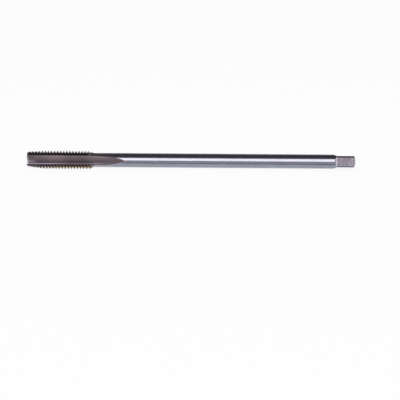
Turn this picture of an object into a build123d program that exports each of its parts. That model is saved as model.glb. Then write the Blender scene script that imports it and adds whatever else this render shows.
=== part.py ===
from build123d import *
from math import acos, cos, degrees, floor, hypot, pi, radians, sin, sqrt, tan
import os

os.makedirs("parts", exist_ok=True)

# Long-shank machine tap, ground from one bar of tool steel.
# Millimetres. The tool axis is X: the cutting end face is at X = 0 and the drive
# square at the far end of +X. The tool lies on the edges of the two threaded lands
# beside the flute that points straight down, so Z is up and the axis is level.

# Length along the axis
OVERALL_LENGTH = 160.0
THREAD_LENGTH = 30.2        # from the cutting end face to the last full crest
LEAD_LENGTH = 8.0           # tapered entry
FLUTE_STRAIGHT = 31.0       # level bottom of a flute, before it runs out
SQUARE_LENGTH = 8.5         # flat part of the drive square

# Diameters
MAJOR_D = 9.0
LEAD_START_D = 7.7
SHANK_D = 7.0
WEB_D = 4.1                 # solid core left between the flutes

# Thread: right hand, 60 degree V with flat crest and root
PITCH = 1.5
FLANK_ANGLE = 60.0
THREAD_DEPTH = 0.92
ROOT_FLAT = 0.25
GROOVE_OVERRUN = 0.08       # the groove is cut from just above the crest
GROOVE_START = 0.5          # first groove on the top land, from the cutting end face
THREAD_BACK_ANGLE = 35.0    # cone from the last crest down to the shank
NECK_ROUND = 4.0            # round between that cone and the shank, times their step
THREAD_RUNOUT = 0.3         # the groove goes on past the last full crest

# Flutes, seen along +X with the flute on top: cutting face on -Y, heel on +Y
FLUTE_COUNT = 3
FLUTE_OPENING = 77.0        # degrees between cutting edge and heel at the crest
FLUTE_DOWN = 180.0          # the first flute points straight down
RAKE = 4.0                  # the cutting face leans back from the radius
FLUTE_ROOT_R = 0.35
FLUTE_BACK_R = 4.5
WHEEL_R = 94.0              # the grinding wheel leaves this arc where a flute ends

# Relief of the lead: each land is lower at its heel than at its cutting edge
LEAD_RELIEF = 0.65          # at the cutting end face, none at the end of the lead

# Ends
TIP_CHAMFER = 0.3
CENTRE_D = 2.2              # mouth of the 60 degree centre hole in either end
CENTRE_PILOT_D = 1.0
CENTRE_PILOT_DEPTH = 1.6
CENTRE_ANGLE = 60.0
END_ROUND = 0.9
SQUARE_ACROSS_FLATS = 5.5
SQUARE_RUNOUT_R = 2.0       # the cutter leaves this arc behind each flat
SQUARE_ROLL = 34.0          # degrees, first flat towards -Y and up

# Room by which a cutting shape reaches past the metal that it removes
OVERCUT = 1.0

MAJOR_R = MAJOR_D / 2
LEAD_START_R = LEAD_START_D / 2
SHANK_R = SHANK_D / 2
ROOT_R = MAJOR_R - THREAD_DEPTH
WEB_R = WEB_D / 2
FLUTE_PITCH_ANGLE = 360.0 / FLUTE_COUNT
LAND_ANGLE = FLUTE_PITCH_ANGLE - FLUTE_OPENING


def turned_blank():
    """The bar as turned: lead cone, thread blank, neck and shank."""
    step = MAJOR_R - SHANK_R
    cone_length = step / tan(radians(THREAD_BACK_ANGLE))
    with BuildPart() as blank:
        with BuildSketch(Plane.XZ):
            with BuildLine():
                outline = [
                    (0, 0),
                    (0, LEAD_START_R),
                    (LEAD_LENGTH, MAJOR_R),
                    (THREAD_LENGTH, MAJOR_R),
                    (THREAD_LENGTH + cone_length, SHANK_R),
                    (OVERALL_LENGTH, SHANK_R),
                    (OVERALL_LENGTH, 0),
                ]
                turns = [0, TIP_CHAMFER, 0, 0, NECK_ROUND * step, END_ROUND, 0]
                FilletPolyline(*outline, radius=turns, close=True)
            make_face()
        revolve(axis=Axis.X)
    return blank.part


def centre_hole(end_x, outward):
    """A 60 degree female centre with its pilot; outward is -1 or +1 along X."""
    mouth_r = CENTRE_D / 2
    pilot_r = CENTRE_PILOT_D / 2
    cone_depth = (mouth_r - pilot_r) / tan(radians(CENTRE_ANGLE / 2))
    with BuildPart() as hole:
        with BuildSketch(Plane.XZ):
            with BuildLine():
                Polyline(
                    (end_x, 0),
                    (end_x, mouth_r),
                    (end_x - outward * cone_depth, pilot_r),
                    (end_x - outward * (cone_depth + CENTRE_PILOT_DEPTH), pilot_r),
                    (end_x - outward * (cone_depth + CENTRE_PILOT_DEPTH), 0),
                    close=True,
                )
            make_face()
        revolve(axis=Axis.X)
    return hole.part


def thread_chaser(land):
    """The grooves of one land: a comb of V teeth swept along the helix.

    The comb reaches from inside the flute ahead of the land to inside the one
    behind it. Land 0 is on top and the next ones follow by right-hand turns.
    """
    comb_angle = LAND_ANGLE + FLUTE_OPENING / 2
    comb_advance = PITCH * comb_angle / 360
    outer_r = MAJOR_R + GROOVE_OVERRUN
    root_half = ROOT_FLAT / 2
    mouth_half = root_half + (outer_r - ROOT_R) * tan(radians(FLANK_ANGLE / 2))
    first_x = (GROOVE_START + land * PITCH / FLUTE_COUNT) % PITCH - PITCH
    groove_count = 1 + floor((THREAD_LENGTH + THREAD_RUNOUT - first_x) / PITCH)
    comb = []
    for number in range(groove_count):
        x = first_x + number * PITCH
        comb.append((x - mouth_half, outer_r))
        comb.append((x - root_half, ROOT_R))
        comb.append((x + root_half, ROOT_R))
        comb.append((x + mouth_half, outer_r))
    comb.append((x + mouth_half, outer_r + OVERCUT))
    comb.append((first_x - mouth_half, outer_r + OVERCUT))
    with BuildPart() as chaser:
        with BuildLine():
            Helix(PITCH, comb_advance, ROOT_R, direction=(1, 0, 0))
        with BuildSketch(Plane.XZ):
            with BuildLine():
                Polyline(*comb, close=True)
            make_face()
        sweep(is_frenet=True)
    centred = Pos(-comb_advance / 2, 0, 0) * Rot(X=-comb_angle / 2) * chaser.part
    return Rot(X=land * FLUTE_PITCH_ANGLE) * centred


def flute_section():
    """Ground section of one flute in Y and Z, with the flute on top."""
    half = radians(FLUTE_OPENING / 2)
    lean = radians(FLUTE_OPENING / 2 - RAKE)
    edge = Vector(-MAJOR_R * sin(half), MAJOR_R * cos(half))
    heel = Vector(MAJOR_R * sin(half), MAJOR_R * cos(half))
    # The back arc passes through the heel and touches the core.
    centre_distance = WEB_R + FLUTE_BACK_R
    swing = acos(
        (centre_distance**2 + MAJOR_R**2 - FLUTE_BACK_R**2) / (2 * centre_distance * MAJOR_R)
    )
    back_centre = Vector(centre_distance * sin(half - swing), centre_distance * cos(half - swing))
    # The root arc touches the cutting face and the back arc from inside.
    inward = Vector(sin(lean), -cos(lean))
    off_face = Vector(cos(lean), sin(lean))
    start = edge + off_face * FLUTE_ROOT_R
    gap = start - back_centre
    reach = -gap.dot(inward) + sqrt(
        gap.dot(inward) ** 2 - gap.dot(gap) + (FLUTE_BACK_R - FLUTE_ROOT_R) ** 2
    )
    root_centre = start + inward * reach
    on_face = edge + inward * reach
    on_back = back_centre + (root_centre - back_centre).normalized() * FLUTE_BACK_R
    # Beyond the crest both walls go on straight, clear of the metal.
    heel_wall = Vector(heel.Y - back_centre.Y, back_centre.X - heel.X).normalized()
    heel_wall = heel_wall * (1 if heel_wall.Y > 0 else -1)
    edge_out = edge - inward * OVERCUT
    heel_out = heel + heel_wall * OVERCUT
    top = MAJOR_R + OVERCUT
    root_mid = root_centre + ((on_face + on_back) / 2 - root_centre).normalized() * FLUTE_ROOT_R
    back_mid = back_centre + ((on_back + heel) / 2 - back_centre).normalized() * FLUTE_BACK_R
    with BuildSketch(Plane.YZ) as section:
        with BuildLine():
            Line(edge_out, on_face)
            ThreePointArc(on_face, root_mid, on_back)
            ThreePointArc(on_back, back_mid, heel)
            Polyline(heel, heel_out, (heel_out.X, top), (edge_out.X, top), edge_out)
        make_face()
    return section.sketch.face()


def flute_cutter():
    """Straight flute, then the arc along which the wheel lifts out of the shank."""
    section = flute_section()
    straight = extrude(
        Location((-OVERCUT, 0, 0)) * section, amount=OVERCUT + FLUTE_STRAIGHT, dir=(1, 0, 0)
    )
    lift_angle = degrees(acos(1 - (MAJOR_R - WEB_R + OVERCUT) / WHEEL_R))
    wheel_axis = Axis((FLUTE_STRAIGHT, 0, WEB_R + WHEEL_R), (0, -1, 0))
    runout = revolve(Location((FLUTE_STRAIGHT, 0, 0)) * section, wheel_axis, lift_angle)
    return straight + runout


def relief_cutter():
    """Takes the lead of one land down towards its heel.

    What stays is inside a cone whose axis leans: at the cutting end face it is off
    the tool axis, ahead of the cutting edge, and it meets the tool axis where the
    lead ends. The flute ahead of the edge is on top.
    """
    offset = LEAD_RELIEF / sin(radians(LAND_ANGLE))
    edge_angle = radians(FLUTE_OPENING / 2)
    # Unit vector at the cutting edge, square to its radius and ahead of the land.
    ahead = Vector(0, cos(edge_angle), sin(edge_angle))
    tip_centre = ahead * offset
    lead_end = Vector(LEAD_LENGTH, 0, 0)
    cone_height = (lead_end - tip_centre).length
    tip_r = hypot(LEAD_START_R, offset)
    slope = (MAJOR_R - tip_r) / cone_height
    axis_dir = (lead_end - tip_centre).normalized()
    kept = Plane(origin=tip_centre - axis_dir * OVERCUT, z_dir=axis_dir) * Cone(
        tip_r - slope * OVERCUT,
        MAJOR_R + slope * OVERCUT,
        cone_height + 2 * OVERCUT,
        align=(Align.CENTER, Align.CENTER, Align.MIN),
    )
    # A wedge over the land, from inside one flute to inside the next.
    margin = FLUTE_OPENING / 4
    with BuildPart() as wedge:
        with BuildSketch(Plane.XZ):
            with Locations((-OVERCUT / 2, WEB_R)):
                Rectangle(
                    LEAD_LENGTH + OVERCUT / 2,
                    MAJOR_R - WEB_R + OVERCUT,
                    align=(Align.MIN, Align.MIN),
                )
        revolve(axis=Axis.X, revolution_arc=LAND_ANGLE + 2 * margin)
    # The wedge starts over the top and grows from +Z towards -Y.
    land_start = FLUTE_OPENING / 2 - margin
    return Rot(X=land_start) * wedge.part - kept


def square_cutter():
    """Clears one side of the drive square, with the arc of the cutter behind it."""
    flat_r = SQUARE_ACROSS_FLATS / 2
    start_x = OVERALL_LENGTH - SQUARE_LENGTH
    arc_centre_r = flat_r + SQUARE_RUNOUT_R
    top = arc_centre_r + OVERCUT
    with BuildPart() as cutter:
        with BuildSketch(Plane.XZ):
            with BuildLine():
                Line((OVERALL_LENGTH + OVERCUT, flat_r), (start_x, flat_r))
                arc_end = (start_x - SQUARE_RUNOUT_R, arc_centre_r)
                ThreePointArc(
                    (start_x, flat_r),
                    (
                        start_x - SQUARE_RUNOUT_R * sin(pi / 4),
                        arc_centre_r - SQUARE_RUNOUT_R * cos(pi / 4),
                    ),
                    arc_end,
                )
                Polyline(
                    arc_end,
                    (start_x - SQUARE_RUNOUT_R, top),
                    (OVERALL_LENGTH + OVERCUT, top),
                    (OVERALL_LENGTH + OVERCUT, flat_r),
                )
            make_face()
        extrude(amount=SHANK_D, both=True)
    return cutter.part


def thread_tap():
    tap = turned_blank()
    tap -= centre_hole(0, -1)
    tap -= centre_hole(OVERALL_LENGTH, 1)
    flute = flute_cutter()
    relief = relief_cutter()
    for number in range(FLUTE_COUNT):
        turn = Rot(X=FLUTE_DOWN + number * FLUTE_PITCH_ANGLE)
        tap -= turn * flute
        tap -= turn * relief
    side = square_cutter()
    for number in range(4):
        tap -= Rot(X=90 - SQUARE_ROLL + number * 90) * side
    for land in range(FLUTE_COUNT):
        tap -= thread_chaser(land)
    return tap


tap = thread_tap()
tap.label = "thread_tap"
export_step(tap, "parts/thread_tap.step")
print("solids", len(tap.solids()), "volume", round(tap.volume, 2), "valid", tap.is_valid)
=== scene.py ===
import math

import bpy
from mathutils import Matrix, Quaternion, Vector


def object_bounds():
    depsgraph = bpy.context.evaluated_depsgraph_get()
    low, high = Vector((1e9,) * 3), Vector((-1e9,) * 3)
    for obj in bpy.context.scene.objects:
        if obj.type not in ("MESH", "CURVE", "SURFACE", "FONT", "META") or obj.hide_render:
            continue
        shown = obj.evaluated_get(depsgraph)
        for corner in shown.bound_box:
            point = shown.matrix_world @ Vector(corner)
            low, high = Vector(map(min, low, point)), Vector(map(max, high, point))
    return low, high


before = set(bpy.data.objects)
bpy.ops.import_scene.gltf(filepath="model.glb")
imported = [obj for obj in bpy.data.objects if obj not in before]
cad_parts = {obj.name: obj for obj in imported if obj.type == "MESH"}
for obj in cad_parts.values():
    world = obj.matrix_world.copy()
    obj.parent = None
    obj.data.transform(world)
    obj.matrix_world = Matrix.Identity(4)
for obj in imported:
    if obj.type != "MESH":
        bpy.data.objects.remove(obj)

# The part's frame: the cutting end face is at x = 0, the drive square at the far end
# of +X, the tool lies along X and -Y is the side that the camera sees. Metres.
MM = 0.001
cad_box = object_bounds()
LOW, HIGH = cad_box
LENGTH = HIGH.x
SHANK_R = 3.5 * MM
THREAD_END_X = 30.5 * MM
FLUTE_END_X = 48.0 * MM
SQUARE_X = LENGTH - 10.0 * MM


# ---------------------------------------------------------------- camera
def make_camera():
    data = bpy.data.cameras.new("camera")
    data.sensor_width = 36.0
    data.lens = 63.3
    data.clip_start = 0.01
    data.clip_end = 20.0
    camera = bpy.data.objects.new("camera", data)
    camera.location = (84.50 * MM, -285.04 * MM, 195.90 * MM)
    camera.rotation_mode = "QUATERNION"
    look_down = math.radians(37.7)
    roll = math.radians(0.41)
    camera.rotation_quaternion = (
        Quaternion((1, 0, 0), math.pi / 2 - look_down) @ Quaternion((0, 0, 1), roll)
    )
    bpy.context.collection.objects.link(camera)
    bpy.context.scene.camera = camera


# ---------------------------------------------------------------- finishes
# Each pair is where a smooth step has its 0 and its 1.
# Cut surfaces lie under the shank's skin, or face away from outwards (1) and endways (1).
UNDER_SKIN_R = (SHANK_R - 0.02 * MM, SHANK_R - 0.08 * MM)
WALL_OUTWARD = (0.8, 0.7)
WALL_ENDWAYS = (0.4, 0.3)
# How rough each finish is, and how much more than the shank
SHANK_ROUGHNESS = 0.2
FLUTE_ROUGHER = 0.14
HAZE_ROUGHER = 0.06
THREAD_ROUGHER = 0.12
SQUARE_ROUGHER = 0.15
# Each noise's cells to a metre along X, Y and Z
MOTTLE_CELLS = (160, 700, 700)
SMEAR_CELLS = (70, 500, 500)
STREAK_CELLS = (520, 80, 80)
PIT_CELLS = (1100, 700, 700)
ROUND_MARK_CELLS = (9000, 60, 60)
FLUTE_MARK_CELLS = (150, 6000, 6000)
WAVE_CELLS = (35, 110, 110)
# The part of a noise's levels that its colours are spread over
MOTTLE_LEVELS = (0.3, 0.7)
SMEAR_LEVELS = (0.3, 0.75)
STREAK_LEVELS = (0.38, 0.62)
PIT_LEVELS = (0.55, 0.72)
# Heights of the slow waves that grinding leaves, and of its fine marks
WAVE_HEIGHT = 0.06 * MM
MARK_HEIGHT = 0.01 * MM
MARK_STRENGTH = 0.12

# Shank, hazier towards the neck
SHANK_COLOUR = (0.375, 0.37, 0.435, 1)
SHANK_DARKER = (0.345, 0.34, 0.40, 1)
HAZE_COLOUR = (0.44, 0.40, 0.42, 1)
HAZE_X = (44 * MM, 34 * MM)

# Thread: brown, with a warm painted highlight on the lower lands and a painted highlight at the
# end of the last groove, on the lit front and top
THREAD_X = (THREAD_END_X + 2.4 * MM, THREAD_END_X + 0.6 * MM)
THREAD_COLOUR = (0.17, 0.142, 0.135, 1)
LOWER_LAND_HIGHLIGHT = (0.23, 0.158, 0.09, 1)
LOWER_LAND_HIGHLIGHT_X = (9 * MM, 17 * MM)
LOWER_LAND_HIGHLIGHT_Z = (1.5 * MM, 0.5 * MM)
# A painted highlight at the end of the last groove, on the lit front and top
GROOVE_HIGHLIGHT_COLOUR = (0.92, 0.90, 0.92, 1)
GROOVE_HIGHLIGHT_START_X = (THREAD_END_X - 0.3 * MM, THREAD_END_X - 0.1 * MM)
GROOVE_HIGHLIGHT_END_X = (THREAD_END_X + 0.8 * MM, THREAD_END_X + 0.6 * MM)
GROOVE_HIGHLIGHT_Y = (0.5 * MM, -0.5 * MM)
GROOVE_HIGHLIGHT_Z = (1 * MM, 2 * MM)
GROOVE_HIGHLIGHT_ENDWAYS = (0.2, 0.4)

# Flutes, with painted light and shade across them: a painted reflection pale near the heel,
# painted shade dark by the root, and a painted highlight line by the cutting face. Across, from
# the heel (0) by the bottom (0.5) to the cutting face (1)
FLUTE_X = (FLUTE_END_X + 1 * MM, FLUTE_END_X)
FLUTE_LIGHT_AND_SHADE = (
    (0.00, (0.06, 0.05, 0.05, 1)),
    (0.012, (0.26, 0.215, 0.225, 1)),
    (0.035, (0.48, 0.395, 0.42, 1)),
    (0.07, (0.42, 0.335, 0.355, 1)),
    (0.14, (0.345, 0.27, 0.29, 1)),
    (0.26, (0.265, 0.205, 0.225, 1)),
    (0.42, (0.175, 0.14, 0.155, 1)),
    (0.59, (0.105, 0.086, 0.098, 1)),
    (0.74, (0.066, 0.055, 0.065, 1)),
    (0.86, (0.063, 0.052, 0.063, 1)),
    (0.90, (0.24, 0.205, 0.245, 1)),
    (0.98, (0.50, 0.43, 0.50, 1)),
)
# Along, from the cutting end (0) to where the flute has run out (1)
FLUTE_ALONG = (
    (0.00, (0.78, 0.78, 0.78, 1)),
    (0.15, (0.78, 0.78, 0.78, 1)),
    (0.25, (1.0, 0.98, 0.97, 1)),
    (0.34, (1.0, 0.98, 0.97, 1)),
    (0.42, (0.74, 0.71, 0.74, 1)),
    (0.58, (0.66, 0.64, 0.68, 1)),
    (0.68, (0.98, 0.98, 0.96, 1)),
    (1.00, (1.0, 1.0, 1.0, 1)),
)
# A value called turned is -1 at the heel of a flute and 1 at its cutting face.
SMEAR_TINT = (1.16, 1.10, 1.10, 1)
# Painted shade: the dark line on each flute's cutting edge
EDGE_SHADE_COLOUR = (0.055, 0.045, 0.047, 1)
EDGE_SHADE_TURNED = (0.9945, 0.9965)
# A dark line along the cutting edge where the flute runs out
EDGE_LINE_START_X = (36.5 * MM, 38 * MM)
EDGE_LINE_END_X = (43 * MM, 41.5 * MM)
EDGE_LINE_TURNED = (0.94, 0.97)
# At the tip an even tone takes the place of the painted shading
TIP_COLOUR = (0.20, 0.17, 0.195, 1)
TIP_X = (6 * MM, 1 * MM)
TIP_HEEL_TURNED = (-1.0, -0.9)
TIP_FACE_TURNED = (0.7, 0.6)
# A painted highlight, brightening the line by the cutting face towards the tip
FACE_HIGHLIGHT_TINT = (1.9, 1.9, 2.0, 1)
FACE_HIGHLIGHT_X = (20 * MM, 2 * MM)
FACE_HIGHLIGHT_TURNED = (0.70, 0.80)
# A painted highlight on the rim at the end face
RIM_HIGHLIGHT_COLOUR = (0.55, 0.50, 0.53, 1)
RIM_HIGHLIGHT_X = (0.9 * MM, 0.3 * MM)
RIM_HIGHLIGHT_SHARE = 0.6

# Square, with its cutter's run-out behind the flats, and painted shade on its round corners:
# dark on the upper ones, paler on the lower ones
MILLED_X = (SQUARE_X - 3 * MM, SQUARE_X - 2.5 * MM)
SQUARE_COLOUR = (0.235, 0.21, 0.25, 1)
SQUARE_DARKER = (0.165, 0.135, 0.165, 1)
SQUARE_PALER = (0.30, 0.28, 0.33, 1)
RUNOUT_COLOUR = (0.60, 0.56, 0.64, 1)
RUNOUT_ENDWAYS = (0.05, 0.3)
UPPER_CORNER_SHADE = (0.05, 0.045, 0.055, 1)
LOWER_CORNER_SHADE = (0.17, 0.16, 0.185, 1)
CORNER_SHADE_X = (SQUARE_X + 1.2 * MM, SQUARE_X + 1.6 * MM)
CORNER_SHADE_R = (SHANK_R - 0.06 * MM, SHANK_R)
CORNER_SHADE_Z = (0, 1 * MM)
UPPER_SHADE_Z = (1 * MM, 2 * MM)
UPPER_SHADE_WIDER = 0.08 * MM


class Graph:
    """Short calls for building a node tree.

    A Mix node's sockets are its factor (0), its two numbers (2 and 3) and its two
    colours (6 and 7).
    """

    def __init__(self, tree):
        self.tree = tree
        tree.nodes.clear()

    def plug(self, socket, value):
        """Links a socket to another node's output, or sets it to a plain value."""
        if hasattr(value, "is_output"):
            self.tree.links.new(value, socket)
        else:
            socket.default_value = value

    def node(self, kind, inputs=None, **settings):
        made = self.tree.nodes.new(kind)
        for name, value in settings.items():
            setattr(made, name, value)
        for name, value in (inputs or {}).items():
            self.plug(made.inputs[name], value)
        return made

    def math(self, operation, a, b=0.0):
        return self.node("ShaderNodeMath", {0: a, 1: b}, operation=operation).outputs[0]

    def times(self, a, b):
        return self.math("MULTIPLY", a, b)

    def ramp(self, value, start, end):
        """0 where value is at start, 1 where it is at end, smooth between."""
        return self.node(
            "ShaderNodeMapRange",
            {"Value": value, "From Min": start, "From Max": end},
            interpolation_type="SMOOTHSTEP",
        ).outputs["Result"]

    def share(self, value, start, end):
        """0 where value is at start, 1 where it is at end, straight between."""
        return self.node(
            "ShaderNodeMapRange", {"Value": value, "From Min": start, "From Max": end}
        ).outputs["Result"]

    def mix(self, factor, a, b):
        """Colour a where the factor is 0, and b where it is 1."""
        return self.node(
            "ShaderNodeMix", {0: factor, 6: a, 7: b}, data_type="RGBA"
        ).outputs[2]

    def tint(self, colour, by):
        """This colour times another."""
        return self.node(
            "ShaderNodeMix", {0: 1.0, 6: colour, 7: by}, data_type="RGBA", blend_type="MULTIPLY"
        ).outputs[2]

    def curve(self, value, stops):
        """The colour at value, between stops of (position, colour)."""
        made = self.node("ShaderNodeValToRGB", {"Fac": value})
        elements = made.color_ramp.elements
        while len(elements) < len(stops):
            elements.new(1.0)
        for element, (position, colour) in zip(elements, stops):
            element.position = position
            element.color = colour
        return made.outputs["Color"]

    def noise(self, place, cells, detail, roughness=0.5):
        """Noise with this many cells to a metre along X, Y and Z."""
        stretched = self.node(
            "ShaderNodeMapping", {"Vector": place, "Scale": cells}, vector_type="POINT"
        ).outputs["Vector"]
        return self.node(
            "ShaderNodeTexNoise",
            {"Vector": stretched, "Scale": 1.0, "Detail": detail, "Roughness": roughness},
        ).outputs["Fac"]

    def bump(self, height, strength, distance, normal=None):
        made = self.node(
            "ShaderNodeBump", {"Strength": strength, "Distance": distance, "Height": height}
        )
        if normal is not None:
            self.plug(made.inputs["Normal"], normal)
        return made.outputs["Normal"]


class Surface:
    """Where a point of the steel is, how it faces, how much of each finish it has, and where the
    square's corners take painted shade.
    """

    def __init__(self, g):
        self.place = g.node("ShaderNodeTexCoord").outputs["Object"]
        axes = g.node("ShaderNodeSeparateXYZ", {"Vector": self.place}).outputs
        self.x, self.y, self.z = axes["X"], axes["Y"], axes["Z"]
        normal = g.node("ShaderNodeNewGeometry").outputs["True Normal"]
        facing = g.node("ShaderNodeSeparateXYZ", {"Vector": normal}).outputs
        y_squared = g.times(self.y, self.y)
        z_squared = g.times(self.z, self.z)
        radius = g.math("SQRT", g.math("ADD", y_squared, z_squared))
        # How far it faces out from the axis, round the axis and along it
        out = g.math("ADD", g.times(self.y, facing["Y"]), g.times(self.z, facing["Z"]))
        outward = g.math("DIVIDE", out, radius)
        sideways = g.math("SUBTRACT", g.times(self.z, facing["Y"]), g.times(self.y, facing["Z"]))
        self.turned = g.math("DIVIDE", sideways, radius)
        self.endways = g.math("ABSOLUTE", facing["X"])

        under_skin = g.ramp(radius, *UNDER_SKIN_R)
        wall = g.times(g.ramp(outward, *WALL_OUTWARD), g.ramp(self.endways, *WALL_ENDWAYS))
        cut = g.math("MAXIMUM", under_skin, wall)
        self.in_flute = g.times(cut, g.ramp(self.x, *FLUTE_X))
        self.threaded = g.ramp(self.x, *THREAD_X)
        self.haze = g.ramp(self.x, *HAZE_X)
        self.milled = g.times(under_skin, g.ramp(self.x, *MILLED_X))
        # The square's round corners take painted shade, over a wider band on the upper side
        wider = g.times(g.ramp(self.z, *UPPER_SHADE_Z), UPPER_SHADE_WIDER)
        by_corner = g.ramp(g.math("ADD", radius, wider), *CORNER_SHADE_R)
        self.corner = g.times(by_corner, g.ramp(self.x, *CORNER_SHADE_X))


def shank_colour(g, at):
    mottle = g.noise(at.place, MOTTLE_CELLS, 3.0)
    colour = g.mix(g.ramp(mottle, *MOTTLE_LEVELS), SHANK_COLOUR, SHANK_DARKER)
    return g.mix(at.haze, colour, HAZE_COLOUR)


def thread_colour(g, at):
    """Brown, with a warm painted highlight on the lower lands."""
    lower_highlight = g.times(g.ramp(at.x, *LOWER_LAND_HIGHLIGHT_X), g.ramp(at.z, *LOWER_LAND_HIGHLIGHT_Z))
    return g.mix(lower_highlight, THREAD_COLOUR, LOWER_LAND_HIGHLIGHT)


def last_groove_highlight(g, at):
    """A painted highlight at the end of the thread's last groove, on the lit front and the top.
    """
    along = g.times(g.ramp(at.x, *GROOVE_HIGHLIGHT_START_X), g.ramp(at.x, *GROOVE_HIGHLIGHT_END_X))
    side = g.times(g.ramp(at.y, *GROOVE_HIGHLIGHT_Y), g.ramp(at.z, *GROOVE_HIGHLIGHT_Z))
    return g.times(g.times(along, side), g.ramp(at.endways, *GROOVE_HIGHLIGHT_ENDWAYS))


def flute_colour(g, at):
    """Painted light and shade: pale near the heel and dark by the root, with a painted highlight
    line and painted dark shade on the cutting edge.
    """
    colour = g.curve(g.share(at.turned, -1.0, 1.0), FLUTE_LIGHT_AND_SHADE)
    colour = g.mix(g.ramp(at.turned, *EDGE_SHADE_TURNED), colour, EDGE_SHADE_COLOUR)
    smear = g.noise(at.place, SMEAR_CELLS, 3.0)
    colour = g.mix(g.ramp(smear, *SMEAR_LEVELS), colour, g.tint(colour, SMEAR_TINT))
    # A paler patch, a darker stretch, and paler again at the end
    colour = g.tint(colour, g.curve(g.share(at.x, 0.0, FLUTE_END_X), FLUTE_ALONG))
    # An even tone at the tip in place of the painted shading, and a painted highlight that
    # brightens the line by the cutting face towards the tip
    tip = g.times(g.ramp(at.turned, *TIP_FACE_TURNED), g.ramp(at.turned, *TIP_HEEL_TURNED))
    colour = g.mix(g.times(g.ramp(at.x, *TIP_X), tip), colour, TIP_COLOUR)
    face_highlight = g.times(g.ramp(at.x, *FACE_HIGHLIGHT_X), g.ramp(at.turned, *FACE_HIGHLIGHT_TURNED))
    colour = g.mix(face_highlight, colour, g.tint(colour, FACE_HIGHLIGHT_TINT))
    # A dark line along the cutting edge where the flute runs out, in the edge's painted shade
    # colour
    edge_line = g.times(g.ramp(at.x, *EDGE_LINE_START_X), g.ramp(at.x, *EDGE_LINE_END_X))
    colour = g.mix(g.times(edge_line, g.ramp(at.turned, *EDGE_LINE_TURNED)), colour, EDGE_SHADE_COLOUR)
    # A painted highlight: a pale rim at the end face
    return g.mix(g.times(g.ramp(at.x, *RIM_HIGHLIGHT_X), RIM_HIGHLIGHT_SHARE), colour, RIM_HIGHLIGHT_COLOUR)


def square_colour(g, at):
    """Streaked and pitted by the milling cutter, and bright in its run-out."""
    streaks = g.noise(at.place, STREAK_CELLS, 4.0, 0.65)
    colour = g.mix(g.ramp(streaks, *STREAK_LEVELS), SQUARE_COLOUR, SQUARE_DARKER)
    pits = g.noise(at.place, PIT_CELLS, 2.0)
    colour = g.mix(g.ramp(pits, *PIT_LEVELS), colour, SQUARE_PALER)
    return g.mix(g.ramp(at.endways, *RUNOUT_ENDWAYS), colour, RUNOUT_COLOUR)


def steel_colour(g, at):
    colour = g.mix(at.threaded, shank_colour(g, at), thread_colour(g, at))
    colour = g.mix(last_groove_highlight(g, at), colour, GROOVE_HIGHLIGHT_COLOUR)
    colour = g.mix(at.in_flute, colour, flute_colour(g, at))
    colour = g.mix(at.milled, colour, square_colour(g, at))
    # Painted shade on the square's round corners: dark on the upper ones, paler on the lower
    # ones
    corner_shade_colour = g.mix(g.ramp(at.z, *CORNER_SHADE_Z), LOWER_CORNER_SHADE, UPPER_CORNER_SHADE)
    return g.mix(at.corner, colour, corner_shade_colour)


def steel_roughness(g, at):
    rough = SHANK_ROUGHNESS
    for finish, more in (
        (at.in_flute, FLUTE_ROUGHER),
        (at.haze, HAZE_ROUGHER),
        (at.threaded, THREAD_ROUGHER),
        (at.milled, SQUARE_ROUGHER),
    ):
        rough = g.math("ADD", rough, g.times(finish, more))
    return rough


def steel_normal(g, at):
    """Slow waves, with grinding marks that run round the shank and along the flutes."""
    round_marks = g.noise(at.place, ROUND_MARK_CELLS, 2.0)
    flute_marks = g.noise(at.place, FLUTE_MARK_CELLS, 2.0)
    marks = g.node(
        "ShaderNodeMix", {0: at.in_flute, 2: round_marks, 3: flute_marks}, data_type="FLOAT"
    ).outputs[0]
    wavy = g.bump(g.noise(at.place, WAVE_CELLS, 1.0), 1.0, WAVE_HEIGHT)
    return g.bump(marks, MARK_STRENGTH, MARK_HEIGHT, wavy)


def steel_material():
    """Ground tool steel: bright shank, dull flutes, brown thread, streaked square, with light
    and shade painted on the flutes, the thread and the square's corners.
    """
    material = bpy.data.materials.new("ground_tool_steel")
    material.use_nodes = True
    g = Graph(material.node_tree)
    at = Surface(g)
    shader = g.node(
        "ShaderNodeBsdfPrincipled",
        {
            "Base Color": steel_colour(g, at),
            "Metallic": 1.0,
            "Roughness": steel_roughness(g, at),
            "Normal": steel_normal(g, at),
        },
    )
    g.node("ShaderNodeOutputMaterial", {"Surface": shader.outputs["BSDF"]})
    return material


def matt_material(name, colour, own_light=0.0):
    """Matt colour. own_light is the share of plain white that is seen instead of it."""
    material = bpy.data.materials.new(name)
    material.use_nodes = True
    g = Graph(material.node_tree)
    matt = g.node("ShaderNodeBsdfDiffuse", {"Color": colour}).outputs[0]
    white = g.node("ShaderNodeEmission", {"Color": (1, 1, 1, 1), "Strength": 1.0}).outputs[0]
    rays = g.node("ShaderNodeLightPath").outputs
    seen = g.math("MAXIMUM", rays["Is Camera Ray"], rays["Is Glossy Ray"])
    seen = g.math("MAXIMUM", seen, rays["Is Transmission Ray"])
    surface = g.node("ShaderNodeMixShader", {0: g.times(seen, own_light), 1: matt, 2: white})
    g.node("ShaderNodeOutputMaterial", {"Surface": surface.outputs[0]})
    return material


# ---------------------------------------------------------------- studio
FLOOR_WIDTH = 6.0
FLOOR_WHITE = (0.92, 0.92, 0.92, 1)
FLOOR_OWN_LIGHT = 0.88
KERB_HEIGHT = 0.2
KERB_OWN_LIGHT = 0.92
# Each lamp or card has a place over the tool: degrees up from -Y, and metres away.
SOFTBOX_SIZE = (2.1, 0.64)
SOFTBOX_ELEVATION = 51.5
SOFTBOX_DISTANCE = 0.9
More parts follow.
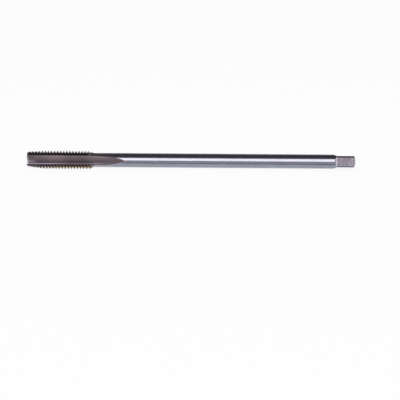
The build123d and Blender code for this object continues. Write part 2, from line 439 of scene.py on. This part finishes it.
# Watts from each square metre of the softbox, over pi
SOFTBOX_BRIGHTNESS = 2.0
CARD_LENGTH = 2.4
CARD_DISTANCE = 0.7
CARD_OVER_ELEVATION = 108
CARD_OVER_WIDTH = 0.86
CARD_OVER_COLOUR = (0.11, 0.10, 0.105, 1)
CARD_BEHIND_ELEVATION = 155
CARD_BEHIND_WIDTH = 0.43
CARD_BEHIND_COLOUR = (0.2, 0.19, 0.2, 1)
# Two cards lie on the floor in front of the tool, one beyond the other. The near one is painted
# shade: its darker, cooler white stands in, in reflections, for the floor's shade next to the
# tool.
FLOOR_CARD_LENGTH = 0.6
FLOOR_CARD_LIFT = 0.1 * MM
CARD_NEAR_Y = -3 * MM
CARD_JOIN_Y = -12 * MM
CARD_FAR_Y = -122 * MM
CARD_NEAR_SHADE_COLOUR = (0.79, 0.90, 0.90, 1)
CARD_NEAR_OWN_LIGHT = 0.3
CARD_FRONT_COLOUR = (0.36, 0.345, 0.385, 1)
WORLD_COLOUR = (0.95, 0.95, 1.0, 1)
WORLD_STRENGTH = 0.5


def staging(name, corners, sides, material):
    """A mesh that isn't part of the object."""
    mesh = bpy.data.meshes.new(name)
    mesh.from_pydata([tuple(v) for v in corners], [], sides)
    made = bpy.data.objects.new(name, mesh)
    made.data.materials.append(material)
    bpy.context.collection.objects.link(made)
    return made


def plane(name, centre, size, normal, material):
    """A flat rectangle, size (along X, across), facing normal in the YZ plane."""
    across = Vector(normal).cross(Vector((1, 0, 0))).normalized() * size[1] / 2
    along = Vector((size[0] / 2, 0, 0))
    c = Vector(centre)
    corners = [c - along - across, c + along - across, c + along + across, c - along + across]
    return staging(name, corners, [(0, 1, 2, 3)], material)


def kerb(half_width, height, material):
    """A low wall round the floor, so that a low camera sees white up to the horizon."""
    edges = [(-half_width, -half_width), (half_width, -half_width)]
    edges += [(half_width, half_width), (-half_width, half_width)]
    corners = [(LENGTH / 2 + x, y, LOW.z + up) for up in (0, height) for x, y in edges]
    sides = [(i, (i + 1) % 4, (i + 1) % 4 + 4, i + 4) for i in range(4)]
    staging("kerb", corners, sides, material)


def around(elevation, distance):
    """A place at this elevation over -Y, measured up and over the tool."""
    a = math.radians(elevation)
    return (LENGTH / 2, -distance * math.cos(a), distance * math.sin(a))


def towards_tool(elevation):
    a = math.radians(elevation)
    return (0, math.cos(a), -math.sin(a))


def area_light(name, elevation, distance, size, power):
    data = bpy.data.lights.new(name, "AREA")
    data.shape = "RECTANGLE"
    data.size, data.size_y = size
    data.energy = power
    lamp = bpy.data.objects.new(name, data)
    lamp.location = around(elevation, distance)
    # An area lamp shines along its own -Z and its size_y runs along its own Y.
    lamp.rotation_euler = (math.radians(90 - elevation), 0, 0)
    bpy.context.collection.objects.link(lamp)


def leave_to_reflections(made):
    made.visible_camera = False
    made.visible_diffuse = False
    made.visible_shadow = False


def card(name, elevation, width, material):
    """A card over the tool that only reflections see."""
    size = (CARD_LENGTH, width)
    place = around(elevation, CARD_DISTANCE)
    leave_to_reflections(plane(name, place, size, towards_tool(elevation), material))


def floor_card(name, near_y, far_y, material):
    """A card lying on the floor that only reflections see."""
    size = (FLOOR_CARD_LENGTH, abs(far_y - near_y))
    middle = (LENGTH / 2, (near_y + far_y) / 2, LOW.z + FLOOR_CARD_LIFT)
    leave_to_reflections(plane(name, middle, size, (0, 0, 1), material))


def make_world():
    world = bpy.data.worlds.new("studio")
    bpy.context.scene.world = world
    world.use_nodes = True
    g = Graph(world.node_tree)
    shade = g.node("ShaderNodeBackground", {"Color": WORLD_COLOUR, "Strength": WORLD_STRENGTH})
    g.node("ShaderNodeOutputWorld", {"Surface": shade.outputs[0]})


def make_studio():
    floor_white = matt_material("floor_white", FLOOR_WHITE, FLOOR_OWN_LIGHT)
    plane("floor", (LENGTH / 2, 0, LOW.z), (FLOOR_WIDTH, FLOOR_WIDTH), (0, 0, 1), floor_white)
    kerb_white = matt_material("kerb_white", FLOOR_WHITE, KERB_OWN_LIGHT)
    kerb(FLOOR_WIDTH / 2, KERB_HEIGHT, kerb_white)
    power = SOFTBOX_BRIGHTNESS * math.pi * SOFTBOX_SIZE[0] * SOFTBOX_SIZE[1]
    area_light("softbox", SOFTBOX_ELEVATION, SOFTBOX_DISTANCE, SOFTBOX_SIZE, power)
    card_black = matt_material("card_black", CARD_OVER_COLOUR)
    card("card_over", CARD_OVER_ELEVATION, CARD_OVER_WIDTH, card_black)
    card_dark = matt_material("card_dark", CARD_BEHIND_COLOUR)
    card("card_behind", CARD_BEHIND_ELEVATION, CARD_BEHIND_WIDTH, card_dark)
    card_near_shade = matt_material("card_near_shade", CARD_NEAR_SHADE_COLOUR, CARD_NEAR_OWN_LIGHT)
    floor_card("card_near", CARD_NEAR_Y, CARD_JOIN_Y, card_near_shade)
    card_grey = matt_material("card_grey", CARD_FRONT_COLOUR)
    floor_card("card_front", CARD_JOIN_Y, CARD_FAR_Y, card_grey)
    make_world()


bpy.context.scene.view_settings.view_transform = "Standard"
make_camera()
make_studio()
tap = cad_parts["thread_tap"]
tap.data.materials.clear()
tap.data.materials.append(steel_material())
